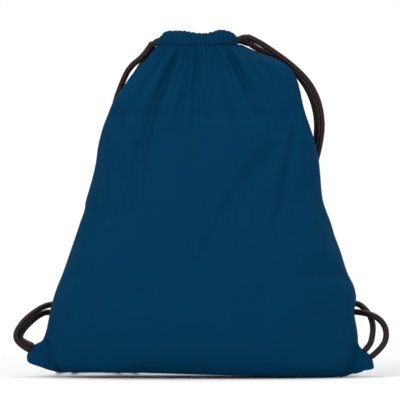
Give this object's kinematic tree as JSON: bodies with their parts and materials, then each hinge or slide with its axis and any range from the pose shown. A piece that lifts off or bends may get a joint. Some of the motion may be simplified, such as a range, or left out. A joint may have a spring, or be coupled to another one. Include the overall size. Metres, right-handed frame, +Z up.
{
  "type": "drawstring backpack",
  "caption": "Filled drawstring backpack standing on its base: gathered mouth with a channel round it and two doubled cords that run down the back to the lower corners as shoulder straps.",
  "frame": {"origin": "on the floor, under the middle of the box of the bag without its cords", "axes": "+Z up to the gathered mouth, -Y out of the front panel, +Y out of the back panel where the straps lie, +X to the right seen from the front"},
  "size_m": [0.415, 0.2117, 0.3815],
  "materials": {
    "cloth": "matt woven polyester, dark petrol blue",
    "seam_edge": "overlocked cloth edge",
    "cord": "braided polyester cord, near black",
    "thread": "dense polyester zigzag stitching"
  },
  "bodies": {
    "bag": {"front_panel": "cloth", "back_panel": "cloth", "front_channel": "cloth", "back_channel": "cloth", "left_side_seam": "seam_edge", "right_side_seam": "seam_edge", "bottom_seam": "seam_edge", "left_channel_cord": "cord", "right_channel_cord": "cord", "left_corner_tacks": "thread", "right_corner_tacks": "thread", "left_channel_tacks": "thread", "right_channel_tacks": "thread"},
    "left_strap": {"left_front_strand": "cord", "left_back_strand": "cord"},
    "right_strap": {"right_front_strand": "cord", "right_back_strand": "cord"}
  },
  "joints": [
    {"name": "left_strap_swing", "type": "hinge", "parent": "bag", "child": "left_strap", "pos_m": [-0.053, 0, 0.3645], "axis": [0.381, 0, 0.9246], "range_deg": [0, 45]},
    {"name": "right_strap_swing", "type": "hinge", "parent": "bag", "child": "right_strap", "pos_m": [0.055, 0, 0.3705], "axis": [0.3567, 0, -0.9342], "range_deg": [0, 45]}
  ]
}
